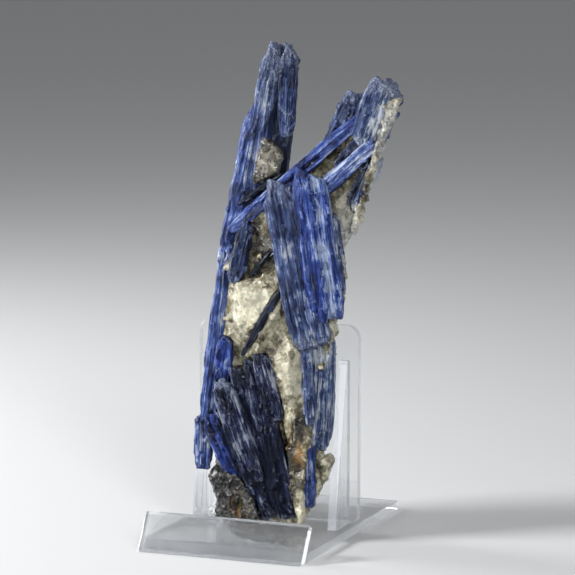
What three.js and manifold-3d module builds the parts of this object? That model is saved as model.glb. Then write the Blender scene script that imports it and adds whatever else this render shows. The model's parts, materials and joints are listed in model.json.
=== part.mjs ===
// A natural cluster of blue kyanite blades grown through quartz, standing in a clear acrylic easel.
// Millimetres, +Z up, +X to the viewer's right, +Y away from the viewer.
// The origin is the centre of the easel base's underside.
import * as THREE from "three";
import { mergeVertices } from "three/addons/utils/BufferGeometryUtils.js";
import Module from "manifold-3d";

const wasm = await Module();
wasm.setup();

// ---- Driving dimensions -------------------------------------------------------------------

const SHEET = 3; // acrylic sheet that every easel piece is cut from
const GLUE_LINE = 0.1; // between two glued easel pieces
const CLEARANCE = 0.3; // between two pieces of the specimen, and under it

const BASE_WIDTH = 55;
const BASE_DEPTH = 88;
const LIP_HEIGHT = 11.7; // top of the lip's front face
const LIP_SETBACK = 7.2; // how far that top lies behind the lip's foot
const PLATE_FRONT = 5.5; // the back plate's front face, along Y
const PLATE_TOP = 67.3;
const PLATE_CORNER = 4.2;
const PLATE_FOOT_CORNER = 2.5;
const FIN_SPREAD = 23.4; // from the middle to each fin's centre plane
const FIN_TOP = 56.3;
const FIN_FOOT_REACH = 12.3; // how far a fin stands out of the back plate at its foot
const FIN_TOP_REACH = 2.8;
const FIN_TOP_CORNER = 1.2;

const LEAN = THREE.MathUtils.degToRad(3); // the specimen leans back against the plate's top edge
const SPECIMEN_FOOT = [0, 2, SHEET + CLEARANCE]; // its own origin: back of the foot, on the base
const FLOOR_BLOCK = { span: 200, depth: 20 }; // everything under the specimen's foot
const WELD = 1e-4; // corners closer than this are one corner

// ---- Finishes -----------------------------------------------------------------------------

const FINISHES = {
  kyanite: { color: 0x3f5fae, roughness: 0.35, metalness: 0 },
  pale_kyanite: { color: 0x8fa6d2, roughness: 0.4, metalness: 0 },
  dark_kyanite: { color: 0x18214a, roughness: 0.3, metalness: 0 },
  quartz: { color: 0xb9b4a0, roughness: 0.45, metalness: 0 },
  mica: { color: 0x34332c, roughness: 0.25, metalness: 0 },
  acrylic: { color: 0xe8eef2, roughness: 0.05, metalness: 0, transparent: true, opacity: 0.3 },
};
const finish = (name) => new THREE.MeshStandardMaterial({ name, ...FINISHES[name] });

// ---- Solids -------------------------------------------------------------------------------

// A closed geometry as a solid that can be cut and joined.
function toSolid(geometry) {
  const bare = geometry.index ? geometry.toNonIndexed() : geometry.clone();
  bare.deleteAttribute("normal");
  bare.deleteAttribute("uv");
  const merged = mergeVertices(bare, WELD);
  return new wasm.Manifold(
    new wasm.Mesh({
      numProp: 3,
      vertProperties: merged.attributes.position.array,
      triVerts: new Uint32Array(merged.index.array),
    }),
  );
}

function toGeometry(solid) {
  const mesh = solid.getMesh();
  const geometry = new THREE.BufferGeometry();
  geometry.setAttribute("position", new THREE.BufferAttribute(mesh.vertProperties, 3));
  geometry.setIndex(new THREE.BufferAttribute(mesh.triVerts, 1));
  geometry.computeVertexNormals();
  return geometry;
}

const boxesMeet = (a, b) =>
  [0, 1, 2].every((k) => a.min[k] < b.max[k] && b.min[k] < a.max[k]);

// The largest body of solid that is left once the tools are taken out of it.
function cutBy(solid, tools) {
  const own = solid.boundingBox();
  const near = tools.filter((tool) => boxesMeet(own, tool.boundingBox()));
  const cut = near.reduce((left, tool) => left.subtract(tool), solid);
  return cut.decompose().sort((a, b) => b.volume() - a.volume())[0];
}

// ---- Easel --------------------------------------------------------------------------------

// A flat piece: an outline of [across, up] points, extruded by SHEET.
function sheetPiece(points) {
  const shape = new THREE.Shape(points.map(([x, y]) => new THREE.Vector2(x, y)));
  return new THREE.ExtrudeGeometry(shape, { depth: SHEET, bevelEnabled: false });
}

// A profile of [Y, Z] points, swept over a width along X and centred on it.
function profilePiece(points, width) {
  const shape = new THREE.Shape(points.map(([y, z]) => new THREE.Vector2(y, z)));
  const geometry = new THREE.ExtrudeGeometry(shape, { depth: width, bevelEnabled: false });
  const turn = new THREE.Matrix4().makeBasis(
    new THREE.Vector3(0, 1, 0),
    new THREE.Vector3(0, 0, 1),
    new THREE.Vector3(1, 0, 0),
  );
  return geometry.translate(0, 0, -width / 2).applyMatrix4(turn);
}

// Points of a quarter circle, both ends included.
function quarter(cx, cy, radius, fromDegrees, steps = 6) {
  return Array.from({ length: steps + 1 }, (_, i) => {
    const angle = THREE.MathUtils.degToRad(fromDegrees + (90 * i) / steps);
    return [cx + radius * Math.cos(angle), cy + radius * Math.sin(angle)];
  });
}

function easel() {
  const group = new THREE.Group();
  const add = (name, geometry) => {
    const mesh = new THREE.Mesh(geometry, finish("acrylic"));
    mesh.name = name;
    group.add(mesh);
    return mesh;
  };
  const slope = LIP_SETBACK / LIP_HEIGHT;
  const front = -BASE_DEPTH / 2;
  const angle = Math.atan(slope);
  const lipRun = SHEET / Math.cos(angle); // the lip's thickness measured along Y
  const heel = front + lipRun;

  const baseFront = heel + GLUE_LINE;
  const baseProfile = [
    [baseFront, 0],
    [BASE_DEPTH / 2, 0],
    [BASE_DEPTH / 2, SHEET],
    [baseFront + slope * SHEET, SHEET],
  ];
  add("easel_base", profilePiece(baseProfile, BASE_WIDTH));

  // The lip leans back from the base's bevelled front edge. Its top is square to its faces.
  const lipTop = [front + LIP_SETBACK, LIP_HEIGHT];
  const lipBackTop = [
    lipTop[0] + SHEET * Math.cos(angle),
    lipTop[1] - SHEET * Math.sin(angle),
  ];
  add("easel_lip", profilePiece([[front, 0], [heel, 0], lipBackTop, lipTop], BASE_WIDTH));

  const plateFoot = SHEET + GLUE_LINE;
  const half = BASE_WIDTH / 2;
  const plateOutline = [
    ...quarter(half - PLATE_CORNER, PLATE_TOP - PLATE_CORNER, PLATE_CORNER, 0),
    ...quarter(-half + PLATE_CORNER, PLATE_TOP - PLATE_CORNER, PLATE_CORNER, 90),
    ...quarter(-half + PLATE_FOOT_CORNER, plateFoot + PLATE_FOOT_CORNER, PLATE_FOOT_CORNER, 180),
    ...quarter(half - PLATE_FOOT_CORNER, plateFoot + PLATE_FOOT_CORNER, PLATE_FOOT_CORNER, 270),
  ];
  const plate = add("easel_back_plate", sheetPiece(plateOutline));
  plate.rotation.x = Math.PI / 2;
  plate.position.y = PLATE_FRONT + SHEET;

  // The two fins stand square to the plate and taper towards their tops.
  const finBack = PLATE_FRONT - GLUE_LINE;
  const finTopFront = finBack - FIN_TOP_REACH;
  const finProfile = [
    [finBack - FIN_FOOT_REACH, plateFoot],
    [finBack, plateFoot],
    [finBack, FIN_TOP],
    [finTopFront + FIN_TOP_CORNER, FIN_TOP],
    [finTopFront, FIN_TOP - FIN_TOP_CORNER],
  ];
  for (const [side, sign] of [["left", -1], ["right", 1]]) {
    const fin = add(`easel_${side}_fin`, profilePiece(finProfile, SHEET));
    fin.position.x = sign * FIN_SPREAD;
  }
  return group;
}

// ---- Kyanite blades -----------------------------------------------------------------------
// A blade's foot and tip are the middles of its front face's two ends, as [across, depth, up] in
// the specimen's own frame: depth is 0 at the back and negative towards the viewer. width runs
// across the front face and thick goes back from it. ends is how wide the broken foot and tip are,
// as shares of the width. turn is how far, in degrees, the front face looks round to the right.
// Earlier blades stay whole, and later ones are cut back from them.

const BLADE_TURN = 18; // for a blade that gives none of its own

const BLADES = [
  // The long pale blade that makes the whole left edge. It bends, so it is two lengths.
  { name: "left_edge_upper", foot: [-11.9, -13, 91], tip: [-4.5, -12, 133.5], width: 4.4, thick: 9,
    ends: [1, 0.5], finish: "pale_kyanite" },
  { name: "left_edge_lower", foot: [-18.2, -14, 31], tip: [-12, -13, 90.5], width: 4.6, thick: 9,
    ends: [0.6, 1], finish: "pale_kyanite" },
  // The left arm.
  { name: "left_arm_front", foot: [-6.6, -12, 94], tip: [1.3, -10, 153.3], width: 6.6, thick: 7,
    ends: [0.8, 0.8], finish: "pale_kyanite" },
  { name: "left_arm_ridge", foot: [5.3, -9, 131], tip: [5.1, -9, 152.3], width: 4.6, thick: 6,
    ends: [0.5, 0.7], finish: "kyanite" },
  { name: "left_arm_groove", foot: [2.9, -7.4, 112], tip: [3.2, -7.4, 149], width: 4.8, thick: 4.6,
    ends: [0.8, 0.6], finish: "dark_kyanite" },
  { name: "left_arm_back", foot: [-3.5, -5, 84], tip: [2, -5, 138], width: 7, thick: 4,
    ends: [0.8, 0.5], finish: "kyanite" },
  // The blade that crosses the cluster from the left edge to the right fork, and a thin one with it.
  { name: "crossing_main", foot: [-10.6, -16, 94], tip: [32, -13, 131], width: 3.6, thick: 5,
    ends: [0.5, 1], finish: "kyanite" },
  { name: "crossing_sliver", foot: [-7.7, -15, 102.8], tip: [5.4, -14, 112.2], width: 1.2, thick: 4,
    ends: [0.8, 0.8], finish: "dark_kyanite" },
  // The right fork.
  { name: "fork_tip", foot: [34.3, -12.5, 124.4], tip: [39, -11, 141.4], width: 10.2, thick: 7,
    ends: [0.9, 0.8], finish: "pale_kyanite" },
  { name: "fork_middle", foot: [18.2, -15, 105.9], tip: [36.5, -13.5, 123.4], width: 4, thick: 5,
    ends: [0.8, 0.9], finish: "pale_kyanite" },
  { name: "fork_slot", foot: [24.2, -12.6, 114.5], tip: [32.6, -12.6, 127.6], width: 1.8, thick: 3,
    ends: [0.7, 0.9], finish: "dark_kyanite" },
  { name: "fork_low", foot: [30.1, -13, 101.5], tip: [37.6, -12.5, 119], width: 3.4, thick: 5,
    ends: [0.45, 0.9], finish: "kyanite" },
  { name: "fork_wedge", foot: [29.5, -12.6, 103], tip: [35.6, -12.4, 117], width: 3.6, thick: 4,
    ends: [0.4, 0.9], finish: "dark_kyanite" },
  { name: "fork_rear", foot: [20.3, -9, 119], tip: [27.6, -8.5, 138.5], width: 5.6, thick: 5,
    ends: [0.9, 0.6], finish: "pale_kyanite" },
  // The broad deep-blue group in the middle, side by side.
  { name: "centre_main", foot: [22.8, -19.5, 66], tip: [14, -19.5, 115.5], width: 4.8, thick: 6,
    ends: [0.7, 0.45], finish: "kyanite" },
  { name: "centre_right", foot: [26, -18, 68.5], tip: [18, -18, 113], width: 6.4, thick: 6,
    ends: [0.7, 0.6], finish: "kyanite" },
  { name: "centre_left", foot: [18.9, -18.5, 58.5], tip: [6.2, -18.5, 108], width: 9, thick: 5.5,
    ends: [0.7, 0.7], finish: "kyanite" },
  { name: "centre_far", foot: [27, -15.5, 76], tip: [23.5, -15.5, 100.5], width: 3.4, thick: 6,
    ends: [0.6, 0.6], finish: "kyanite" },
  { name: "centre_low", foot: [22, -18, 60.3], tip: [18.4, -18, 78.2], width: 5, thick: 5,
    ends: [0.6, 0.9], finish: "pale_kyanite" },
  // Short and thin blades set in the quartz.
  { name: "left_inner", foot: [-7.4, -17.8, 77.8], tip: [-4.7, -16.5, 97], width: 4, thick: 4,
    ends: [0.6, 0.7], finish: "kyanite" },
  { name: "needle_upper", foot: [-2.3, -17.5, 79.8], tip: [4.3, -17.5, 88.1], width: 1.4, thick: 3,
    ends: [0.7, 0.7], finish: "dark_kyanite" },
  { name: "needle_lower", foot: [-3.8, -21, 54.6], tip: [8.7, -21, 75.9], width: 2.2, thick: 4,
    ends: [0.8, 0.6], finish: "dark_kyanite" },
  { name: "blue_chip", foot: [-12.2, -17, 45.6], tip: [-10.8, -17, 59.8], width: 4.6, thick: 5,
    ends: [0.8, 0.5], finish: "kyanite" },
  // The dark group at the lower left, all leaning the same way.
  { name: "low_front", foot: [1.3, -19, 14.5], tip: [-11.2, -21, 46], width: 6.2, thick: 6,
    ends: [0.8, 0.7], finish: "dark_kyanite" },
  { name: "low_dark_right", foot: [11.5, -15.5, 3.5], tip: [-1.9, -18.3, 53.5], width: 6.4, thick: 6,
    ends: [0.8, 0.7], finish: "dark_kyanite" },
  { name: "low_dark_left", foot: [5.4, -15.5, 3.5], tip: [-6.5, -18.8, 50.5], width: 6, thick: 6,
    ends: [0.7, 0.8], finish: "dark_kyanite" },
  { name: "low_left", foot: [-3, -16, 12.5], tip: [-16, -17.5, 35], width: 7, thick: 5,
    ends: [0.9, 0.6], finish: "dark_kyanite" },
  { name: "low_left_tip", foot: [-19.9, -14, 16.5], tip: [-19.3, -14, 32.5], width: 4.2, thick: 7,
    ends: [0.8, 0.6], finish: "pale_kyanite" },
  { name: "low_foot", foot: [3.2, -13, 2.1], tip: [-1.6, -17, 13.6], width: 4, thick: 5,
    ends: [0.9, 0.7], finish: "pale_kyanite" },
  { name: "low_middle", foot: [7.3, -17.4, 35], tip: [0.8, -17.4, 55], width: 5.6, thick: 4,
    ends: [0.6, 0.8], finish: "dark_kyanite" },
  // The right side, upright.
  { name: "right_lower", foot: [20.2, -14, 25.5], tip: [20.8, -15, 62.5], width: 6.8, thick: 9,
    ends: [0.7, 0.8], finish: "kyanite" },
  { name: "right_grey", foot: [18.8, -17.5, 34.2], tip: [16.2, -17.5, 62.1], width: 2.7, thick: 4,
    ends: [0.6, 0.7], finish: "pale_kyanite" },
  { name: "right_pale", foot: [16.8, -14, 7.2], tip: [18, -15, 34.6], width: 2.7, thick: 6,
    ends: [0.8, 0.8], finish: "pale_kyanite" },
  // The back of the cluster.
  { name: "back_broad", foot: [6, -5.2, 12], tip: [3.5, -5.2, 99], width: 10, thick: 4.6, turn: 4,
    ends: [0.7, 0.6], finish: "kyanite" },
  { name: "back_left", foot: [-11.5, -6.2, 18], tip: [-8.5, -6.2, 82], width: 7, thick: 5, turn: 4,
    ends: [0.6, 0.7], finish: "pale_kyanite" },
  { name: "back_right", foot: [14.5, -7, 30], tip: [18, -7, 96], width: 7, thick: 5.5, turn: 4,
    ends: [0.7, 0.6], finish: "kyanite" },
  { name: "back_slant", foot: [9.5, -6, 88], tip: [29, -8.6, 118], width: 5.5, thick: 4.5, turn: 4,
    ends: [0.7, 0.6], finish: "dark_kyanite" },
];

const BLADE_EDGE = 0.5; // chamfer round a blade's broad faces
const END_RUN = 0.09; // share of a blade's length over which each end narrows

// An unplaced blade: length along Y, width along X, its front face in the plane Z = 0.
function bladeGeometry({ width, thick, ends }, length) {
  const half = width / 2;
  const run = Math.max(END_RUN * length, half);
  const [footHalf, tipHalf] = ends.map((share) => share * half);
  const outline = [
    [-footHalf, -length / 2],
    [footHalf, -length / 2],
    [half, -length / 2 + run],
    [half, length / 2 - run],
    [tipHalf, length / 2],
    [-tipHalf, length / 2],
    [-half, length / 2 - run],
    [-half, -length / 2 + run],
  ].map(([x, y]) => new THREE.Vector2(x, y));
  const edge = Math.min(BLADE_EDGE, width / 4);
  const geometry = new THREE.ExtrudeGeometry(new THREE.Shape(outline), {
    depth: thick - 2 * edge,
    bevelSize: edge,
    bevelOffset: -edge,
    bevelThickness: edge,
    bevelSegments: 1,
  });
  return geometry.translate(0, 0, edge - thick);
}

// Where a blade's own axes lie in the specimen's frame.
function bladeMatrix(foot, tip, turn) {
  const angle = THREE.MathUtils.degToRad(turn);
  const along = tip.clone().sub(foot).normalize();
  const back = new THREE.Vector3(-Math.sin(angle), Math.cos(angle), 0);
  const across = back.cross(along).normalize();
  const facing = across.clone().cross(along);
  const centre = foot.clone().add(tip).multiplyScalar(0.5);
  return new THREE.Matrix4().makeBasis(across, along, facing).setPosition(centre);
}

// The blade as a solid in the specimen's frame, and the room that its neighbours leave for it.
function bladeSolids(blade) {
  const foot = new THREE.Vector3(...blade.foot);
  const tip = new THREE.Vector3(...blade.tip);
  const length = foot.distanceTo(tip);
  const geometry = bladeGeometry(blade, length);
  const grown = geometry
    .clone()
    .translate(0, 0, blade.thick / 2)
    .scale(
      1 + (2 * CLEARANCE) / blade.width,
      1 + (2 * CLEARANCE) / length,
      1 + (2 * CLEARANCE) / blade.thick,
    )
    .translate(0, 0, -blade.thick / 2);
  const matrix = bladeMatrix(foot, tip, blade.turn ?? BLADE_TURN);
  return {
    matrix,
    solid: toSolid(geometry.applyMatrix4(matrix)),
    room: toSolid(grown.applyMatrix4(matrix)),
  };
}

// ---- Quartz and mica ----------------------------------------------------------------------
// A lump is an outline of [across, up] points, carried from a front depth to a back depth. It is
// carried back slantwise, to the left, and the outline is true at the depth SLANT_DEPTH.

const LUMP_EDGE = 1.6; // chamfer round a lump's outline
const SLANT = 0.36; // how far a lump moves to the left for each millimetre back
const SLANT_DEPTH = -11;

function lumpSolid({ outline, front, back, edge = LUMP_EDGE }) {
  const shape = new THREE.Shape(outline.map(([x, z]) => new THREE.Vector2(x, z)));
  const geometry = new THREE.ExtrudeGeometry(shape, {
    depth: back - front - 2 * edge,
    bevelSize: edge,
    bevelOffset: -edge,
    bevelThickness: edge,
    bevelSegments: 2,
  });
  // The outline is drawn in X and Y, so the geometry is stood up with its depth along -Y.
  geometry.translate(0, 0, edge).rotateX(Math.PI / 2).translate(0, back, 0);
  const slant = new THREE.Matrix4().makeShear(0, 0, -SLANT, 0, 0, 0);
  geometry.translate(0, -SLANT_DEPTH, 0).applyMatrix4(slant).translate(0, SLANT_DEPTH, 0);
  return toSolid(geometry);
}

const MATRIX_LUMPS = [
  // The foot and the lower body.
  { outline: [[-15, 12], [-8, 1.5], [14, 0.5], [18, 8], [21.4, 15], [21.6, 21], [20.5, 27], [21, 62],
      [-15, 62], [-16.5, 40]], front: -12.5, back: -1.5 },
  // The pale body in the middle.
  { outline: [[-15.5, 50], [21, 50], [24.8, 68], [26, 74], [27.3, 80], [26.4, 88], [12, 103], [-9, 101],
      [-12.5, 76]], front: -15, back: -1.5 },
  // The white knob under the crossing blade.
  { outline: [[-10.5, 66], [-3, 59], [2, 64], [9.5, 77], [6, 82], [-4, 79], [-10, 78]], front: -19.5,
    back: -8 },
  // The lower white slab beside the dark blades.
  { outline: [[-3, 56], [3, 50], [9, 26], [17, 26], [18, 46], [17.5, 58], [12, 72], [7, 70]],
    front: -16.5, back: -8 },
  // The fork, up to its tip along the right edge.
  { outline: [[8, 92], [24, 86], [30, 96], [31.2, 104], [34.5, 110], [37, 117], [39.5, 124], [42.6, 131],
      [44, 137], [40, 137], [30, 128], [15, 114], [8, 106]], front: -11.5, back: -4.5, edge: 1.2 },
  // The narrow tail at the lower right of the foot.
  { outline: [[8.5, 26], [10.5, 10], [13.5, 1.2], [15.5, 3.5], [14.8, 12], [16, 30]], front: -17.5,
    back: -6, edge: 1.2 },
];

const POCKET_LUMP = {
  outline: [[-5.2, 108.5], [3.9, 112.6], [5, 118.5], [3.4, 121], [-1.2, 124], [-4.4, 116]],
  front: -12.5,
  back: -6.5,
  edge: 1.2,
};

const MICA_LUMP = {
  outline: [[-15.6, 2.2], [-14.8, 8], [-18.2, 15], [-16, 17.5], [-7, 16], [-2.5, 10], [1, 1],
    [-8, 0.6]],
  front: -18.6,
  back: -5,
  edge: 1.2,
};

// ---- Specimen -----------------------------------------------------------------------------

function specimen() {
  const group = new THREE.Group();
  group.position.set(...SPECIMEN_FOOT);
  group.rotation.x = -LEAN;

  const add = (name, finishName, solid, matrix = new THREE.Matrix4()) => {
    const back = matrix.clone().invert();
    const mesh = new THREE.Mesh(toGeometry(solid).applyMatrix4(back), finish(finishName));
    mesh.name = name;
    matrix.decompose(mesh.position, mesh.quaternion, mesh.scale);
    group.add(mesh);
  };

  // What the specimen may not reach: the base it stands on, in its own frame.
  const floor = new THREE.BoxGeometry(FLOOR_BLOCK.span, FLOOR_BLOCK.span, FLOOR_BLOCK.depth)
    .translate(0, 0, -FLOOR_BLOCK.depth / 2)
    .rotateX(LEAN);
  const rooms = [toSolid(floor)];
  for (const blade of BLADES) {
    const { matrix, solid, room } = bladeSolids(blade);
    add(`${blade.name}_blade`, blade.finish, cutBy(solid, rooms), matrix);
    rooms.push(room);
  }

  const mica = cutBy(lumpSolid(MICA_LUMP), rooms);
  add("mica_foot", "mica", mica);
  const pocket = cutBy(lumpSolid(POCKET_LUMP), rooms);
  add("quartz_pocket", "quartz", pocket);

  // The matrix keeps clear of the two smaller lumps as well.
  const grow = (lump) =>
    lumpSolid({ ...lump, front: lump.front - CLEARANCE, back: lump.back + CLEARANCE });
  const body = MATRIX_LUMPS.map(lumpSolid).reduce((joined, lump) => joined.add(lump));
  add("quartz_matrix", "quartz", cutBy(body, [...rooms, grow(MICA_LUMP), grow(POCKET_LUMP)]));
  return group;
}

const object = new THREE.Group();
object.add(easel(), specimen());
export default object;
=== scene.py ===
# %% [markdown]
# A kyanite blade cluster in a clear easel. Kyanite grows as long, flat, splintery blades: deep blue
# in places and silver to colourless in others, always streaked along its length.
# Here the blades stand in broken milky quartz, and the whole stone leans in a display easel cut from
# clear acrylic sheet. The CAD parts give every place and size, and this file gives them their surface.

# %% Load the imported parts
import json
import math
import random

import bpy
import numpy as np
from mathutils import Matrix, Vector


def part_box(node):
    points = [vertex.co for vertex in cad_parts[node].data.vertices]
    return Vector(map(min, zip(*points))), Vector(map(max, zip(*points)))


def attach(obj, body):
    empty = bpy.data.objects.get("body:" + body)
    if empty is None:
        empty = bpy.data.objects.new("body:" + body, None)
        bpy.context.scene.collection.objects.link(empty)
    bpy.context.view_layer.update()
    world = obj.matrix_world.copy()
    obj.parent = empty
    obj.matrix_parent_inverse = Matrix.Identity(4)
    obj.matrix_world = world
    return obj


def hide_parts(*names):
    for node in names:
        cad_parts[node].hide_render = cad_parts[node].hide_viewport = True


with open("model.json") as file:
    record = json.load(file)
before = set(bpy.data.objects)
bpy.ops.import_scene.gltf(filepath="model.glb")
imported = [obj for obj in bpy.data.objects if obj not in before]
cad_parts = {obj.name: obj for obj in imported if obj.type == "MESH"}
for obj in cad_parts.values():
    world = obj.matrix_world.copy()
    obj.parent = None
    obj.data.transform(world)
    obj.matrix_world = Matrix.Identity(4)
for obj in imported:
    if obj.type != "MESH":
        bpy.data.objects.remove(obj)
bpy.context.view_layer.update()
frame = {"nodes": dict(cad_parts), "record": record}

MM = 0.001  # everything below is in metres, and sizes are easier to read in millimetres

# %% [markdown]
# An operator acts on whatever is selected, and the loaded parts arrive selected. These helpers clear
# the selection first, so that each operator reaches only the piece in hand.

# %% Helpers for selecting
def leave_edit():
    if bpy.context.mode != "OBJECT":
        bpy.ops.object.mode_set(mode="OBJECT")


def select_only(*pieces):
    leave_edit()
    bpy.ops.object.select_all(action="DESELECT")
    for piece in pieces:
        piece.select_set(True)
    if pieces:
        bpy.context.view_layer.objects.active = pieces[0]


def edit(piece, pick_vertex=None):
    """Opens a piece in edit mode with the chosen vertices selected, or all of them."""
    select_only(piece)
    bpy.ops.object.mode_set(mode="EDIT")
    bpy.ops.mesh.select_mode(type="VERT")
    bpy.ops.mesh.select_all(action="SELECT" if pick_vertex is None else "DESELECT")
    if pick_vertex is not None:
        bpy.ops.object.mode_set(mode="OBJECT")
        for vertex in piece.data.vertices:
            vertex.select = bool(pick_vertex(vertex.co))
        bpy.ops.object.mode_set(mode="EDIT")


def apply_modifiers(piece):
    select_only(piece)
    for modifier in list(piece.modifiers):
        bpy.ops.object.modifier_apply(modifier=modifier.name)


def copy_of(master, place):
    """A copy with its own mesh, whose place is in that mesh."""
    piece = bpy.data.objects.new(master.name, master.data.copy())
    piece.data.transform(place)
    bpy.context.scene.collection.objects.link(piece)
    return piece


def join(name, pieces):
    select_only(*pieces)
    bpy.ops.object.join()
    joined = bpy.context.object
    joined.name = name
    return joined


def fuse(piece, voxel):
    """Melts everything in a piece into one closed skin of even small faces."""
    remesh = piece.modifiers.new("fuse", "REMESH")
    remesh.mode = "VOXEL"
    remesh.voxel_size = voxel
    remesh.use_smooth_shade = True
    apply_modifiers(piece)


# %% [markdown]
# The camera stands a little to the right of the easel and just above it, far off with a long lens,
# as for a studio picture of a small object. Far off, upright things stay parallel.

# %% Camera
CAMERA_AZIMUTH = math.radians(21.8)
CAMERA_ELEVATION = math.radians(8.2)
CAMERA_DISTANCE = 0.942
CAMERA_AIM = Vector((11.1, -13.8, 81.6)) * MM

towards_camera = Vector((
    math.sin(CAMERA_AZIMUTH) * math.cos(CAMERA_ELEVATION),
    -math.cos(CAMERA_AZIMUTH) * math.cos(CAMERA_ELEVATION),
    math.sin(CAMERA_ELEVATION),
))
camera = bpy.data.objects.new("camera", bpy.data.cameras.new("camera"))
camera.data.sensor_width = 36
camera.data.lens = 187.8
camera.location = CAMERA_AIM + towards_camera * CAMERA_DISTANCE
camera.rotation_mode = "QUATERNION"
camera.rotation_quaternion = (-towards_camera).to_track_quat("-Z", "Y")
camera.data.clip_start = 0.01
camera.data.clip_end = 20
bpy.context.scene.collection.objects.link(camera)
bpy.context.scene.camera = camera
print("camera at", [round(c, 3) for c in camera.location])

# %% [markdown]
# A strong soft lamp lights the stone from the upper left, a weaker one from the right, and a strip
# lamp skims its left edge. The room fills the shadows only a little, so that every step and fibre
# keeps a dark side. Lamps of this size give the silky sheen on the blades.

# %% Lamps, room and floor
def lamp(name, place, aim, size, power):
    light = bpy.data.lights.new(name, "AREA")
    light.shape = "RECTANGLE"
    light.size, light.size_y = size
    light.energy = power
    holder = bpy.data.objects.new(name, light)
    holder.location = place
    holder.rotation_mode = "QUATERNION"
    holder.rotation_quaternion = (Vector(aim) - Vector(place)).to_track_quat("-Z", "Y")
    bpy.context.scene.collection.objects.link(holder)


STONE_MIDDLE = (0, 0, 0.08)
lamp("key_lamp", (-0.74, -0.52, 0.52), STONE_MIDDLE, (0.28, 0.28), 14.5)
lamp("side_lamp", (0.62, -0.75, 0.50), STONE_MIDDLE, (0.20, 0.5), 4.6)
lamp("rim_lamp", (-0.62, 0.10, 0.30), STONE_MIDDLE, (0.2, 0.6), 3.4)

room = bpy.data.worlds.new("room")
bpy.context.scene.world = room
room.use_nodes = True
room.node_tree.nodes["Background"].inputs["Color"].default_value = (0.86, 0.87, 0.88, 1)
room.node_tree.nodes["Background"].inputs["Strength"].default_value = 0.30
bpy.context.scene.view_settings.view_transform = "Standard"

select_only()
bpy.ops.mesh.primitive_plane_add(size=12, location=(0, 0, -0.2 * MM))
floor = bpy.context.object
floor.name = "floor"

# %% [markdown]
# A material's pattern is arithmetic on numbers that change over the surface. Wire wraps one socket,
# so that arithmetic on it is written as plain Python and draws the Math nodes by itself. Finish holds
# one material and makes any other node through a single method.

# %% Wires and finishes
class Wire:
    """A value in a material. Arithmetic on it adds the nodes that work it out."""

    def __init__(self, finish, socket):
        self.finish = finish
        self.socket = socket

    def _math(self, operation, *values):
        return self.finish.node("ShaderNodeMath", {"operation": operation}, dict(enumerate(values)))

    def __add__(self, other):
        return self._math("ADD", self, other)

    def __radd__(self, other):
        return self._math("ADD", other, self)

    def __sub__(self, other):
        return self._math("SUBTRACT", self, other)

    def __rsub__(self, other):
        return self._math("SUBTRACT", other, self)

    def __mul__(self, other):
        return self._math("MULTIPLY", self, other)

    def __rmul__(self, other):
        return self._math("MULTIPLY", other, self)

    def __abs__(self):
        return self._math("ABSOLUTE", self)


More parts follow.
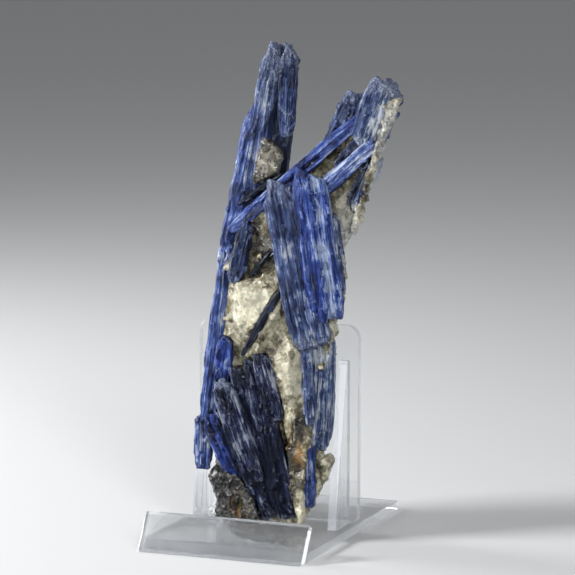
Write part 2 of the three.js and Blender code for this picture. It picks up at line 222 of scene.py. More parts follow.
class Finish:
    """One material, built from a Principled shader."""

    def __init__(self, name, **constants):
        self.material = bpy.data.materials.new(name)
        self.material.use_nodes = True
        self.nodes = self.material.node_tree.nodes
        self.links = self.material.node_tree.links
        self.shader = self.nodes["Principled BSDF"]
        for socket, value in constants.items():
            self.shader.inputs[socket.replace("_", " ")].default_value = value

    def node(self, kind, settings=None, values=None, out=0):
        """Adds a node: its settings first, then its sockets' values or wires."""
        made = self.nodes.new(kind)
        for key, value in (settings or {}).items():
            if key == "stops":
                self.set_stops(made.color_ramp, value)
            else:
                setattr(made, key, value)
        for key, value in (values or {}).items():
            if isinstance(value, Wire):
                self.links.new(value.socket, made.inputs[key])
            else:
                made.inputs[key].default_value = value
        return Wire(self, made.outputs[out])

    @staticmethod
    def set_stops(ramp, stops):
        while len(ramp.elements) < len(stops):
            ramp.elements.new(0.5)
        for element, (place, shade) in zip(ramp.elements, stops):
            element.position = place
            element.color = shade

    def mix(self, amount, first, second):
        """Blends two colours."""
        settings = {"data_type": "RGBA", "clamp_factor": True}
        return self.node("ShaderNodeMix", settings, {0: amount, 6: first, 7: second}, out=2)

    def stretch(self, vector, scale, shift=(0, 0, 0)):
        return self.node("ShaderNodeMapping", {}, {"Vector": vector, "Location": shift, "Scale": scale})

    def noise(self, vector, scale, detail=3.0, rough=0.55):
        values = {"Vector": vector, "Scale": scale, "Detail": detail, "Roughness": rough}
        return self.node("ShaderNodeTexNoise", {}, values)

    def cells(self, vector, scale, out):
        values = {"Vector": vector, "Scale": scale, "Randomness": 1.0}
        return self.node("ShaderNodeTexVoronoi", {}, values, out=out)

    def vector_math(self, operation, *values, out=0):
        return self.node("ShaderNodeVectorMath", {"operation": operation}, dict(enumerate(values)), out)

    def facets(self, vector, scale):
        """A height made of flat pieces, each leaning its own way, as broken crystal is."""
        apart = self.vector_math("SUBTRACT", vector, self.cells(vector, scale, "Position"))
        lean = self.vector_math("SUBTRACT", self.cells(vector, scale, "Color"), (0.5, 0.5, 0.5))
        return self.vector_math("DOT_PRODUCT", apart, lean, out="Value")

    def between(self, value, low, high):
        """0 below low, 1 above high, and a smooth rise between them."""
        settings = {"interpolation_type": "SMOOTHSTEP", "clamp": True}
        values = {"Value": value, "From Min": low, "From Max": high}
        return self.node("ShaderNodeMapRange", settings, values)

    def attribute(self, name, out="Vector"):
        return self.node("ShaderNodeAttribute", {"attribute_name": name}, out=out)

    def place_in_mm(self):
        place = self.node("ShaderNodeTexCoord", out="Object")
        return self.stretch(place, (1 / MM, 1 / MM, 1 / MM))

    def near(self, vector, point, reach):
        """1 at a point, falling to 0 at the reach, which has a length along each axis."""
        shares = self.vector_math("DIVIDE", self.vector_math("SUBTRACT", vector, point), reach)
        far = self.vector_math("LENGTH", shares, out="Value")
        return 1 - self.between(far, 0.2, 1.0)

    def feed(self, socket, wire):
        self.links.new(wire.socket, self.shader.inputs[socket])

    def bump(self, height, distance, strength=1.0):
        values = {"Height": height, "Distance": distance, "Strength": strength}
        return self.node("ShaderNodeBump", {}, values)


def rgb(red, green, blue):
    """A colour given as it looks on a screen, from 0 to 255, in the linear values shaders use."""
    def linear(c):
        c /= 255
        return c / 12.92 if c <= 0.04045 else ((c + 0.055) / 1.055) ** 2.4
    return (linear(red), linear(green), linear(blue), 1)


floor_finish = Finish("pale_floor", Base_Color=rgb(204, 205, 206), Roughness=0.8,
                      Specular_IOR_Level=0.1)
floor.data.materials.append(floor_finish.material)
print("floor finish ready")

# %% [markdown]
# Kyanite. Three things make it read as kyanite: streaks that follow each blade's length, with near
# black, blue and silver fibres lying side by side; a few oblique cracks across the fibres; and pale,
# granular frosting on broken ends and worn ridges. Each blade carries its own coordinates, "grain",
# in millimetres along its fibres, so one pattern follows every blade however it leans. "tone" says
# how much lighter a blade is than its neighbours, and "frost" how near a broken end is.

# %% Kyanite finishes
STREAK_STOPS = (0.29, 0.42, 0.53, 0.65, 0.77)  # where on the ramp each of a finish's shades lies
CRACK_STEP = (0.040, 0.0, 0.050)  # per millimetre: cracks cross the fibres at a slant
SHEEN = (0.55, 0.66, 1.0, 1)  # light comes back from inside the crystal, so its gloss is bluish


def kyanite(name, shades, frosting, gloss=0.35, coat=0.08):
    """shades are five colours, from the darkest fibre to the brightest."""
    f = Finish(name, IOR=1.6, Specular_IOR_Level=gloss, Specular_Tint=SHEEN, Coat_Weight=coat,
               Coat_Roughness=0.10)
    grain = f.attribute("grain")
    tone = f.attribute("tone", out="Fac")
    frost = f.attribute("frost", out="Fac")
    fine = f.noise(f.stretch(grain, (1, 1, 0.045)), 2.0, 5.0, 0.8)
    broad = f.noise(f.stretch(grain, (1, 1, 0.05), (7, 3, 1)), 0.50, 3.0, 0.6)
    zones = f.noise(f.place_in_mm(), 0.13, 3.0, 0.6)
    crumbs = f.noise(f.stretch(grain, (1, 1, 0.4), (2, 9, 4)), 0.9, 5.0, 0.75)

    shade = 0.5 + 1.25 * (fine - 0.5) + 0.9 * (broad - 0.5) + 1.0 * (zones - 0.5) + tone
    colour = f.node("ShaderNodeValToRGB", {"stops": list(zip(STREAK_STOPS, shades))}, {0: shade})

    # Cracks: thin slanting lines across the fibres, each only partly open.
    steps = f.vector_math("DOT_PRODUCT", grain, CRACK_STEP, out="Value")
    steps = steps + 0.5 * (broad - 0.5) + 0.12 * crumbs
    turn = f.node("ShaderNodeMath", {"operation": "FRACT"}, {0: steps})
    crack = 1 - f.between(abs(turn - 0.5), 0.003, 0.015)
    crack = crack * f.between(zones + 0.6 * (crumbs - 0.5), 0.50, 0.58)
    colour = f.mix(crack * 0.7, colour, shades[4])

    # Ridges are worn pale in places, and hollows are darkened to the darkest fibre colour as painted
    # shade.
    bend = f.node("ShaderNodeNewGeometry", out="Pointiness")
    rubbed = f.noise(f.stretch(grain, (1, 1, 0.07), (5, 6, 3)), 0.8, 4.0, 0.7)
    worn = f.between(bend, 0.515, 0.60) * f.between(rubbed, 0.42, 0.62)
    colour = f.mix(worn * 0.7, colour, shades[4])
    colour = f.mix((1 - f.between(bend, 0.40, 0.485)) * 0.75, colour, shades[0])

    powder = f.between(crumbs + 0.55 * frost + frosting + 0.3 * (zones - 0.5), 0.62, 0.80)
    grains = f.between(f.noise(grain, 2.6, 3.0, 0.7), 0.40, 0.64)
    grey = f.mix(grains, rgb(58, 70, 104), rgb(156, 164, 182))
    colour = f.mix(powder * 0.8, colour, grey)
    f.feed("Base Color", colour)

    f.feed("Roughness", 0.20 + 0.28 * fine + 0.30 * powder)
    laths = f.facets(f.stretch(grain, (1, 1, 0.06), (3, 1, 7)), 0.55)
    f.feed("Normal", f.bump(fine + 1.1 * laths + 0.6 * powder * crumbs - 0.4 * crack, 0.5 * MM, 1.0))
    return f.material


sapphire = kyanite("sapphire_kyanite", [rgb(2, 5, 22), rgb(6, 18, 74), rgb(18, 42, 118),
                                        rgb(46, 74, 148), rgb(150, 164, 192)], -0.04)
silver = kyanite("silver_kyanite", [rgb(8, 14, 42), rgb(20, 36, 88), rgb(44, 65, 126),
                                    rgb(80, 100, 158), rgb(178, 188, 206)], 0.0)
steel = kyanite("steel_kyanite", [rgb(5, 9, 26), rgb(17, 29, 66), rgb(42, 58, 102),
                                  rgb(82, 98, 136), rgb(176, 182, 188)], 0.04)
navy = kyanite("navy_kyanite", [rgb(1, 2, 6), rgb(3, 5, 16), rgb(6, 10, 32),
                                rgb(24, 35, 74), rgb(136, 141, 152)], 0.03, gloss=0.2, coat=0.04)
print("kyanite:", [m.name for m in (sapphire, silver, steel, navy)])

# %% [markdown]
# Quartz. The rock round the blades is broken milky quartz: nearly white where it is full of cracks,
# olive-grey and glassy where it is sound, with ochre iron stain run down into its cracks low on the
# right. Its hollows are darkened towards brown as painted shade. The stained and darker places are
# set as shares of the rock's own box.
# A little light goes through it, and flat patches that each lean their own way make it glint.

# %% Quartz and mica finishes
ROCK_LOW, ROCK_HIGH = (Vector(corner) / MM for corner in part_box("quartz_matrix"))


def in_rock(across, back, up):
    """A point in millimetres, from its shares of the quartz body's box."""
    shares = Vector((across, back, up))
    return tuple(low + share * (high - low) for low, share, high in zip(ROCK_LOW, shares, ROCK_HIGH))


def broken_rock(name, white, olive, brown, whiteness, roughness, coat=0.35, stains=(), darker_spots=(),
                knobs=(), greys=()):
    """stains, the darker spots, knobs and greys are (point, reach) pairs: the ochre, the darker, the
    extra-white and the blue-grey places."""
    f = Finish(name, IOR=1.54, Transmission_Weight=0.22, Coat_Weight=coat, Coat_Roughness=0.10,
               Subsurface_Weight=0.10, Subsurface_Scale=1.0 * MM)
    place = f.place_in_mm()
    cloud = f.noise(place, 0.10, 3.0, 0.55)
    crumbs = f.noise(place, 0.8, 5.0, 0.7)
    patch = f.node("ShaderNodeSeparateColor", {}, {0: f.cells(place, 0.42, "Color")})
    streaks = f.noise(f.stretch(place, (1, 1, 0.25), (4, 8, 2)), 0.5, 4.0, 0.65)

    def places(points):
        total = f.near(place, *points[0])
        for point in points[1:]:
            total = total + f.near(place, *point)
        return total

    pale = cloud + 0.32 * (crumbs - 0.5) + 0.20 * (patch - 0.5) + whiteness
    if knobs:
        pale = pale + 0.18 * places(knobs)
    # A few given places are made darker.
    if darker_spots:
        pale = pale - 0.22 * places(darker_spots)
    stops = [(0.28, brown), (0.44, olive), (0.64, white)]
    colour = f.node("ShaderNodeValToRGB", {"stops": stops}, {0: pale})
    colour = f.mix(f.between(streaks, 0.60, 0.74) * 0.5, colour, brown)
    if greys:
        grey = f.mix(f.between(crumbs, 0.36, 0.62), rgb(118, 124, 132), rgb(220, 222, 220))
        colour = f.mix(places(greys) * 0.85, colour, grey)
    if stains:
        rust = places(stains) * f.between(streaks, 0.44, 0.60)
        colour = f.mix(rust * 0.8, colour, rgb(148, 110, 36))

    # Ridges are lightened towards white, and hollows are darkened towards brown as painted shade.
    bend = f.node("ShaderNodeNewGeometry", out="Pointiness")
    colour = f.mix(f.between(bend, 0.515, 0.62) * 0.6, colour, white)
    colour = f.mix((1 - f.between(bend, 0.36, 0.485)) * 0.6, colour, brown)
    f.feed("Base Color", colour)
    f.feed("Roughness", roughness + 0.4 * crumbs)
    height = 0.6 * crumbs + 1.3 * f.facets(place, 0.28) + 0.8 * f.facets(place, 0.8)
    f.feed("Normal", f.bump(height, MM, 0.8))
    return f.material


milky_quartz = broken_rock(
    "milky_quartz", rgb(214, 209, 184), rgb(118, 111, 84), rgb(40, 34, 22), 0.0, 0.06,
    stains=[(in_rock(0.45, 0.14, 0.22), (4.5, 12, 7)), (in_rock(0.55, 0.14, 0.18), (3.5, 12, 8)),
            (in_rock(0.76, 0.3, 0.53), (4, 12, 5))],
    darker_spots=[(in_rock(0.29, 0.3, 0.66), (8, 16, 10)), (in_rock(0.38, 0.2, 0.35), (6, 12, 9)),
          (in_rock(0.52, 0.2, 0.17), (9, 16, 20))],
    knobs=[(in_rock(0.28, 0.23, 0.51), (13, 16, 12)), (in_rock(0.50, 0.2, 0.37), (8, 14, 14)),
           (in_rock(0.76, 0.3, 0.72), (6, 14, 10)), (in_rock(0.68, 0.2, 0.14), (9, 14, 11))],
    greys=[(in_rock(0.96, 0.3, 0.92), (9, 16, 22)), (in_rock(0.74, 0.3, 0.66), (9, 16, 22))],
)
pocket_quartz = broken_rock(
    "pocket_quartz", rgb(166, 162, 148), rgb(86, 80, 66), rgb(30, 27, 20), -0.09, 0.1,
)
dark_mica = broken_rock(
    "dark_mica", rgb(48, 47, 44), rgb(9, 9, 10), rgb(2, 3, 5), -0.18, 0.08, coat=0.25,
    stains=[(in_rock(0.24, 0.08, 0.05), (5, 14, 6))],
)
print("rock:", milky_quartz.name, dark_mica.name)

# %% [markdown]
# The easel is clear acrylic, a little lower in index than glass. Light that enters a clear sheet runs
# along inside it and comes out at the cut edges, which is why they look bright. Tracing that takes
# far more light paths than a picture needs, so the cut edges, which are found by how far they turn
# from the sheet's broad sides, are less clear than the sheet and glow very slightly.

# %% Easel
def broad_side(part):
    """The direction that most of a sheet's surface faces."""
    spread = np.zeros((3, 3))
    for face in part.data.polygons:
        normal = np.array(face.normal)
        spread += face.area * np.outer(normal, normal)
    return [float(c) for c in np.linalg.eigh(spread)[1][:, 2]]


def clear_acrylic(name, side):
    f = Finish(name, Base_Color=(0.93, 0.945, 0.96, 1), Roughness=0.03, IOR=1.49,
               Transmission_Weight=1.0, Emission_Strength=0.12)
    normal = f.node("ShaderNodeNewGeometry", out="Normal")
    facing = f.vector_math("DOT_PRODUCT", normal, side, out="Value")
    cut = 1 - f.between(abs(facing), 0.80, 0.97)
    f.feed("Emission Color", f.mix(cut, (0, 0, 0, 1), (0.80, 0.84, 0.92, 1)))
    f.feed("Alpha", 0.60 + 0.35 * cut)
    return f.material


for name, part in frame["nodes"].items():
    if not name.startswith("easel"):
        continue
    side = broad_side(part)
    part.data.materials.clear()
    part.data.materials.append(clear_acrylic(f"{name}_acrylic", side))
    weld = part.modifiers.new("weld", "WELD")
    weld.merge_threshold = 0.01 * MM
    rounding = part.modifiers.new("polished_edges", "BEVEL")
    rounding.width = 0.25 * MM
    rounding.segments = 2
    rounding.limit_method = "ANGLE"
    rounding.angle_limit = math.radians(40)
    print(name, "broad side", [round(c, 2) for c in side])

# %% [markdown]
# A blade is built like the real thing, from splinters. One splinter is modelled by hand at unit
# size: a long block, cut into short lengths so that it can waver, broken off at a slant at both ends.
# Four different ones are enough, because every copy gets its own size, turn and place.

# %% Master splinters
def master_splinter(name, foot_slant, tip_slant, taper, seed):
    select_only()
    bpy.ops.mesh.primitive_cube_add(size=1, location=(0, 0, 0))
    piece = bpy.context.object
    piece.name = name
    # Cut the four long edges into short lengths.
    edit(piece)
    bpy.ops.mesh.select_all(action="DESELECT")
    bpy.ops.mesh.select_mode(type="EDGE")
    leave_edit()
    points = piece.data.vertices
    for side in piece.data.edges:
        a, b = (points[i].co for i in side.vertices)
        side.select = abs(a.z - b.z) > 0.5
    bpy.ops.object.mode_set(mode="EDIT")
    bpy.ops.mesh.subdivide(number_cuts=9)
    # Narrow it towards the tip, then break both ends at a slant.
    edit(piece, lambda co: co.z > 0.25)
    bpy.ops.transform.resize(value=(taper, taper, 1))
    edit(piece, lambda co: co.z > 0.45)
    bpy.ops.transform.resize(value=(taper, taper, 1))
    for height, slant in ((-0.47, foot_slant), (0.45, tip_slant)):
        edit(piece)
        facing = Vector((*slant, 1)) * math.copysign(1, height)
        bpy.ops.mesh.bisect(plane_co=(0, 0, height), plane_no=facing, use_fill=True, clear_outer=True)
    edit(piece)
    bpy.ops.transform.vertex_random(offset=0.045, seed=seed)
    bpy.ops.mesh.normals_make_consistent(inside=False)
    leave_edit()
    return piece


SPLINTERS = [
    master_splinter("splinter_plain", (0.02, 0.03), (0.05, 0.02), 0.94, 1),
    master_splinter("splinter_slant", (-0.05, 0.02), (0.10, -0.04), 0.86, 2),
    master_splinter("splinter_point", (0.04, -0.05), (-0.08, 0.06), 0.70, 3),
    master_splinter("splinter_chip", (0.08, 0.06), (-0.12, 0.10), 0.80, 4),
]
print("splinters:", [len(m.data.polygons) for m in SPLINTERS], "faces")

# %% [markdown]
# The rock's counterpart of a splinter is a chunk: a ball with flats cut off it on all sides, as
# quartz breaks. Three of them, turned and sized at random, make knobs, crumbs and facets.

# %% Master chunks
def master_chunk(name, cuts, seed):
    rng = random.Random(seed)
    select_only()
    bpy.ops.mesh.primitive_ico_sphere_add(subdivisions=3, radius=0.5, location=(0, 0, 0))
    piece = bpy.context.object
    piece.name = name
    for _ in range(cuts):
        facing = Vector([rng.gauss(0, 1) for _ in range(3)]).normalized()
        edit(piece)
        bpy.ops.mesh.bisect(plane_co=facing * rng.uniform(0.28, 0.42), plane_no=facing, use_fill=True,
                            clear_outer=True)
    leave_edit()
    return piece


CHUNKS = [
    master_chunk("chunk_blocky", 9, 11),
    master_chunk("chunk_round", 14, 12),
    master_chunk("chunk_flat", 11, 13),
]
for master in SPLINTERS + CHUNKS:
    master.hide_render = True
print("chunks:", [len(m.data.polygons) for m in CHUNKS], "faces")

# %% [markdown]
# Each CAD blade is measured for where it lies. Its long axis is the direction its surface spreads
# most, its broad side is the direction most of that surface looks, and its box follows from both.

# %% Measure a blade
def surface(mesh):
    """The corners, unit normals and areas of a mesh's triangles."""
    points = np.empty(len(mesh.vertices) * 3)
    mesh.vertices.foreach_get("co", points)
    points = points.reshape(-1, 3)
    corners = points[[list(face.vertices[:3]) for face in mesh.polygons]]
    normals = np.cross(corners[:, 1] - corners[:, 0], corners[:, 2] - corners[:, 0])
    areas = np.linalg.norm(normals, axis=1) / 2
    keep = areas > 0
    return corners[keep], normals[keep] / (2 * areas[keep, None]), areas[keep]


def measure(name):
    """The turned box a CAD blade fills: a matrix (across, back, along), its size and end widths."""
    corners, normals, areas = surface(frame["nodes"][name].data)
    middles = corners.mean(axis=1)
    centre = (middles * areas[:, None]).sum(0) / areas.sum()
    spread = np.einsum("i,ij,ik->jk", areas, middles - centre, middles - centre)
    along = np.linalg.eigh(spread)[1][:, 2]
    along *= np.sign(along[2])

    # Turn round the long axis to the direction that most of the long faces share.
    back = np.array([0, 1, 0]) - along[1] * along
    back /= np.linalg.norm(back)
    across = np.cross(back, along)
    side_on = np.abs(normals @ along) < 0.25
    turns = np.arctan2(normals[side_on] @ back, normals[side_on] @ across) % (math.pi / 2)
    turn = np.angle((areas[side_on] * np.exp(4j * turns)).sum()) / 4
    across, back = (across * math.cos(turn) + back * math.sin(turn),
                    back * math.cos(turn) - across * math.sin(turn))
    axes = np.stack([across, back, along], axis=1)
    local = (corners.reshape(-1, 3) - centre) @ axes
    low, high = local.min(0), local.max(0)
    size = high - low
    middle = centre + axes @ ((low + high) / 2)
    place = Matrix([[*axes[i], middle[i]] for i in range(3)] + [[0, 0, 0, 1]])

    # How wide the blade still is within its last few hundredths, as shares of its width.
    height = (local[:, 2] - low[2]) / size[2]
    shares = [np.ptp(local[end, 0]) / size[0] for end in (height < 0.04, height > 0.96)]
    return place, Vector(size), [max(0.35, min(1.0, share)) for share in shares]


BLADES = [name for name in frame["nodes"] if name.endswith("_blade")]
boxes = {name: measure(name) for name in BLADES}
for name, (_, size, ends) in boxes.items():
    print(f"{name:24s}", [round(c / MM, 1) for c in size], [round(e, 2) for e in ends])

# %% [markdown]
# A bundle is a core that fills the blade's box, with thinner splinters laid on its front, back and
# sides, standing a fraction of a millimetre proud. They are shorter than the blade, so the faces are
# stepped and the ends blunt but uneven. All of them are joined, drawn in towards the ends, and melted
# into one skin. Then textures stretched along the fibres push that skin in and out: wide cells leave
# laths, narrow cells leave steps, and clouds leave fine ridges and a slow waver.

# %% Build a blade
BLADE_VOXEL = 0.27 * MM
FACE_PER_STRIP = 18 * MM * MM  # of the front and the back
SIDE_PER_STRIP = 26 * MM * MM
FACE_PER_FLAKE = 22 * MM * MM
GROWN = 0.6 * MM  # real blades grow into one another, so each fills the gap that its CAD solid leaves


def lay(pieces, master, size, centre, turn=0.0, tilt=0.0, lift=0.0):
    place = (Matrix.Translation(centre) @ Matrix.Rotation(tilt, 4, "Y") @ Matrix.Rotation(lift, 4, "X")
             @ Matrix.Rotation(turn, 4, "Z") @ Matrix.Diagonal((*size, 1)))
    pieces.append(copy_of(master, place))


def push(piece, kind, cell, stretch, strength, shift, **settings):
    """Pushes the surface in and out by a texture stretched along the fibres."""
    texture = bpy.data.textures.new(f"{piece.name}_{kind.lower()}", kind)
    for key, value in settings.items():
        setattr(texture, key, value)
    texture.noise_scale = 1.0
    guide = bpy.data.objects.new("guide", None)
    guide.matrix_world = Matrix.Translation(shift) @ Matrix.Diagonal((cell, cell, cell * stretch, 1))
    bpy.context.scene.collection.objects.link(guide)
    modifier = piece.modifiers.new(kind, "DISPLACE")
    modifier.texture = texture
    modifier.texture_coords = "OBJECT"
    modifier.texture_coords_object = guide
    modifier.strength = strength
    modifier.mid_level = 0.5
    bpy.context.view_layer.update()
    apply_modifiers(piece)
    bpy.data.objects.remove(guide)


CELLS = {"distance_metric": "DISTANCE", "color_mode": "POSITION"}  # a Voronoi texture of flat cells


def draw_in(piece, length, end_shares):
    """Narrows both ends in three steps, so that they come out rounded."""
    starts = (0.40, 0.44, 0.475)
    for sign, share in zip((-1, 1), end_shares):
        step = (share ** (1 / 3), 0.93, 1)
        for start in starts:
            edit(piece, lambda co: sign * co.z > start * length)
            bpy.ops.transform.resize(value=step, center_override=(0, 0, 0))
    leave_edit()


def lay_chunk(pieces, rng, centre, size):
    turns = [Matrix.Rotation(rng.uniform(0, math.tau), 4, axis) for axis in "XYZ"]
    spin = turns[0] @ turns[1] @ turns[2]
    place = Matrix.Translation(centre) @ Matrix.Diagonal((*size, 1)) @ spin
    pieces.append(copy_of(rng.choice(CHUNKS), place))


def bundle(name, size, ends, relief, knots=()):
    """A blade in its own space: across X, front towards -Y, along Z. knots are lumps grown on it,
    each at a share of the width and of the length, with its size in millimetres."""
    rng = random.Random(name)
    width, depth, length = (s + GROWN for s in size)
    pieces = []
    lay(pieces, SPLINTERS[0], (width * 0.95, depth * 0.92, length * 1.05), (0, 0, 0))

    def lay_strip(on_front, side):
        """One splinter along a face: a front or back one, or one on a narrow side."""
        face, reach_in = (width, depth) if on_front else (depth, width)
        wide = min(face * 0.55, rng.uniform(0.7, 2.4) * MM)
        thick = rng.uniform(0.8, 1.8) * MM
        run = length * rng.uniform(0.15, 0.7)
        along = rng.uniform(-0.5, 0.5) * (length * 0.99 - run)
        over = rng.uniform(-0.5, 0.5) * (face - wide)
        out = side * (reach_in / 2 - thick / 2 + rng.uniform(-0.3, 0.45) * relief * MM)
        centre = (over, out, along) if on_front else (out, over, along)
        shape = (wide, thick, run) if on_front else (thick, wide, run)
        lay(pieces, rng.choice(SPLINTERS), shape, centre,
            turn=rng.uniform(-0.2, 0.2), tilt=rng.gauss(0, 0.014))

    for side in (-1, 1):
        for _ in range(round(width * length / FACE_PER_STRIP) + 2):
            lay_strip(True, side)
        for _ in range(round(depth * length / SIDE_PER_STRIP) + 2):
            lay_strip(False, side)
    for _ in range(round(width * length / FACE_PER_FLAKE) + 2):  # flakes on the front
        run = rng.uniform(1.2, 4.0) * MM
        x = rng.uniform(-0.45, 0.45) * width
        z = rng.uniform(-0.46, 0.46) * length
        lay(pieces, rng.choice(SPLINTERS), (rng.uniform(0.5, 1.5) * MM, 0.8 * MM, run),
            (x, -depth / 2, z), turn=rng.uniform(-0.6, 0.6), tilt=rng.gauss(0, 0.3),
            lift=rng.gauss(0, 0.12))
    blade = join(name, pieces)
    draw_in(blade, length, ends)
    if knots:
        lumps = [blade]
        for across, up, reach in knots:
            centre = (across * width, 0, up * length)
            lay_chunk(lumps, rng, centre, [reach * MM, min(reach * MM, depth), reach * 1.2 * MM])
        blade = join(name, lumps)
    fuse(blade, BLADE_VOXEL)
    shift = Vector([rng.uniform(-50, 50) * MM for _ in range(3)])
    push(blade, "CLOUDS", 4.0 * MM, 2.6, 1.1 * relief * MM, shift, noise_depth=2)
    push(blade, "VORONOI", 2.3 * MM, 11.0, 0.70 * relief * MM, shift, **CELLS)
    push(blade, "VORONOI", 0.95 * MM, 11.0, 0.40 * relief * MM, shift, **CELLS)
    push(blade, "CLOUDS", 0.55 * MM, 12.0, 0.36 * MM, shift, noise_depth=2)
    return blade, rng


def set_attribute(mesh, name, kind, key, values):
    made = mesh.attributes.new(name, kind, "POINT")
    made.data.foreach_set(key, np.asarray(values, dtype=np.float32).ravel())


def finish_blade(blade, place, length, rng, tone, tip_frost, material):
    """Writes the blade's own coordinates on it, then puts it where it belongs."""
    mesh = blade.data
    points = np.empty(len(mesh.vertices) * 3, dtype=np.float32)
    mesh.vertices.foreach_get("co", points)
    points = points.reshape(-1, 3)
    shift = [rng.uniform(0, 90) for _ in range(3)]
    up = points[:, 2] / length
    ends = 0.30 * np.clip((np.abs(up) - 0.42) / 0.08, 0, 1)
    tip = tip_frost * np.clip((up - 0.10) / 0.40, 0, 1)
    set_attribute(mesh, "grain", "FLOAT_VECTOR", "vector", points / MM + shift)
    set_attribute(mesh, "tone", "FLOAT", "value", np.full(len(points), tone))
    set_attribute(mesh, "frost", "FLOAT", "value", ends + tip)
    mesh.transform(place)
    mesh.materials.clear()
    mesh.materials.append(material)
    mesh.update()
    select_only(blade)
    bpy.ops.object.shade_smooth_by_angle(angle=math.radians(40))


# %% [markdown]
# Now every blade is built. Its finish follows its material slot unless it is named here, and a few
# are lighter or darker than their neighbours, have frosted tips, or are smoother than the rest.

# %% Build all the blades
SLOTS = {part["node"]: part["material_slot"] for part in frame["record"]["subparts"]}
SLOT_FINISH = {"kyanite": sapphire, "pale_kyanite": silver, "dark_kyanite": navy}
STEEL = {"left_arm_front", "left_arm_ridge", "centre_left", "centre_low", "centre_far", "fork_tip",
         "fork_rear", "right_lower", "right_grey", "left_inner", "low_foot", "fork_low"}
SAPPHIRE = {"left_arm_groove", "low_left"}
TONES = {
    "left_edge_upper": 0.0, "left_edge_lower": 0.04, "left_arm_groove": -0.30, "left_arm_ridge": -0.06,
    "centre_main": 0.01, "centre_right": 0.17, "centre_left": 0.03, "centre_far": 0.0,
    "centre_low": 0.05, "blue_chip": -0.05, "fork_middle": 0.07, "fork_rear": -0.02, "fork_tip": 0.08,
    "fork_low": 0.22, "crossing_main": 0.06, "left_inner": -0.04, "right_lower": 0.12,
    "right_grey": 0.14, "right_pale": 0.08, "low_left": -0.08, "low_left_tip": 0.12,
    "needle_upper": -0.25, "needle_lower": -0.22, "crossing_sliver": -0.12, "low_front": 0.07,
}
FROST = {"left_arm_front": 0.45, "left_arm_ridge": 0.50, "left_arm_groove": 0.3, "fork_tip": 0.50,
         "fork_rear": 0.45, "low_front": 0.35, "centre_left": 0.26, "low_left_tip": 0.25,
         "fork_low": 0.2, "right_lower": 0.1}
# How much of the usual relief a smoother blade has.
SMOOTH = {"left_arm_groove": 0.3, "needle_upper": 0.4, "needle_lower": 0.5, "crossing_sliver": 0.5,
          "crossing_main": 0.6, "fork_middle": 0.7, "fork_slot": 0.5}
# How much of its CAD solid's width and thickness a blade keeps.
SLIM = {"needle_upper": 0.5, "needle_lower": 0.55, "crossing_sliver": 0.7, "fork_low": 0.8}
# How many millimetres further up than its CAD solid a blade goes, or down if negative.
REACH = {"left_edge_upper": -3.0, "left_edge_lower": 3.0, "centre_left": 2.5, "low_left_tip": 2.0,
         "fork_tip": -2.5, "left_arm_groove": 4.5, "left_arm_ridge": -7.0}
# The width left at the foot and the tip, where it isn't what the CAD solid says.
DRAWN_IN = {"left_arm_front": (0.8, 0.42), "left_arm_ridge": (0.35, 0.42), "fork_tip": (0.45, 0.85)}
KNOTS = {
    "left_arm_front": [(0.0, 0.475, 4.0)],
    "left_arm_groove": [(-0.45, 0.455, 3.6), (0.05, 0.46, 3.6)],
    "left_arm_ridge": [(0.1, 0.42, 3.4), (0.35, 0.33, 4.0), (0.3, 0.2, 3.4)],
    "fork_tip": [(-0.25, 0.45, 5.5), (0.1, 0.45, 6), (0.38, 0.34, 5.5), (0.46, 0.1, 4), (0.46, -0.2, 4)],
    "fork_rear": [(-0.2, 0.42, 3.6), (0.3, 0.46, 3.4), (-0.4, 0.2, 3), (-0.4, -0.1, 3.4)],
    "low_front": [(0, 0.455, 4.6)],
    "low_left_tip": [(-0.1, 0.3, 3.6), (0.2, -0.3, 3.4)],
}
total = 0
for name in BLADES:
    place, size, ends = boxes[name]
    short = name.removesuffix("_blade")
    longer = REACH.get(short, 0) * MM
    place = place @ Matrix.Translation((0, 0, longer / 2))
    slim = SLIM.get(short, 1.0)
    size = Vector((size.x * slim, size.y * slim, size.z + abs(longer)))
    ends = DRAWN_IN.get(short, ends)
    material = SLOT_FINISH[SLOTS[name]]
    if short in STEEL:
        material = steel
    if short in SAPPHIRE:
        material = sapphire
    piece, rng = bundle(f"{short}_kyanite", size, ends, SMOOTH.get(short, 1.0), KNOTS.get(short, ()))
    finish_blade(piece, place, size.z, rng, TONES.get(short, 0.0), FROST.get(short, 0.0), material)
    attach(piece, "root")
    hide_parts(name)
    total += len(piece.data.polygons)
print(len(BLADES), "blades,", total, "faces")

# %% [markdown]
# The rock starts as a copy of the CAD solid, whose faces are loose triangles, so they are merged
# first. Chunks are sunk into its surface all over, with bigger ones for the knob, the slab and the
# nub at the foot, and a row of them down the right of the fork. All are melted into one skin, which
# is broken up once more by a cloud and by cells of two sizes.

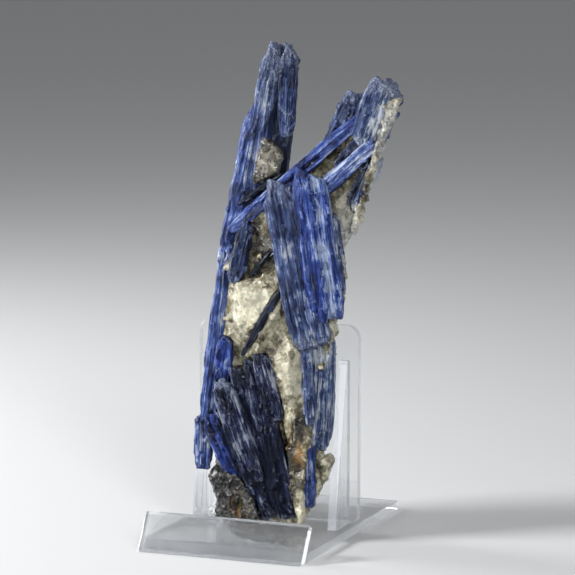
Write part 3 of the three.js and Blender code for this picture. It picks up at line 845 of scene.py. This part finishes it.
# %% Quartz and mica
def rock(node, label, material, voxel, chunk, count, broken=1.0, fine_above=math.inf, big=()):
    rng = random.Random(label)
    body = copy_of(frame["nodes"][node], Matrix())
    edit(body)
    bpy.ops.mesh.remove_doubles(threshold=0.005 * MM)
    leave_edit()
    pieces = [body]
    corners, normals, areas = surface(body.data)
    for chosen in rng.choices(range(len(areas)), weights=areas.tolist(), k=count):
        a, b = sorted(rng.random() for _ in range(2))
        spot = a * corners[chosen][0] + (b - a) * corners[chosen][1] + (1 - b) * corners[chosen][2]
        reach = chunk * rng.uniform(0.45, 1.2) * (0.5 if spot[2] > fine_above else 1)
        centre = Vector(spot) - Vector(normals[chosen]) * reach * 0.22
        lay_chunk(pieces, rng, centre, [reach * rng.uniform(0.7, 1.3) for _ in range(3)])
    for share, reach in big:
        lay_chunk(pieces, rng, Vector(in_rock(*share)) * MM, [r * MM for r in reach])
    piece = join(label, pieces)
    fuse(piece, voxel)
    push(piece, "CLOUDS", chunk * 0.9, 1.0, 0.09 * broken * chunk, Vector((6, 2, 9)) * MM, noise_depth=2)
    push(piece, "VORONOI", chunk * 0.6, 1.2, 0.15 * broken * chunk, Vector((1, 8, 2)) * MM, **CELLS)
    push(piece, "VORONOI", chunk * 0.22, 1.2, 0.06 * broken * chunk, Vector((4, 3, 5)) * MM, **CELLS)
    piece.data.materials.clear()
    piece.data.materials.append(material)
    select_only(piece)
    bpy.ops.object.shade_smooth_by_angle(angle=math.radians(28))
    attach(piece, "root")
    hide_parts(node)
    print(label, len(piece.data.polygons), "faces")


# Across and up, as shares of the quartz body's box: the rim down the right side of the fork.
FORK_RIM = [(0.945 - 0.0165 * step, 0.945 - 0.0245 * step) for step in range(11)]
rock("quartz_matrix", "broken_quartz", milky_quartz, 0.47 * MM, 4.4 * MM, 300, fine_above=98 * MM,
     big=[((0.28, 0.22, 0.50), (14, 7, 13)), ((0.37, 0.24, 0.55), (11, 6, 9)),
          ((0.49, 0.20, 0.38), (9, 7, 22)), ((0.53, 0.16, 0.22), (7, 7, 20)),
          ((0.66, 0.30, 0.15), (6, 7, 10)),
          *(((across, 0.53, up), (3.4, 6, 5)) for across, up in FORK_RIM)])
rock("quartz_pocket", "pocket_grains", pocket_quartz, 0.25 * MM, 1.9 * MM, 90, broken=1.5)
rock("mica_foot", "dark_foot", dark_mica, 0.3 * MM, 3.2 * MM, 60, broken=1.8)

# %% [markdown]
# The hand-made masters have done their work, so they go.

# %% Clear away
for master in SPLINTERS + CHUNKS:
    bpy.data.objects.remove(master)
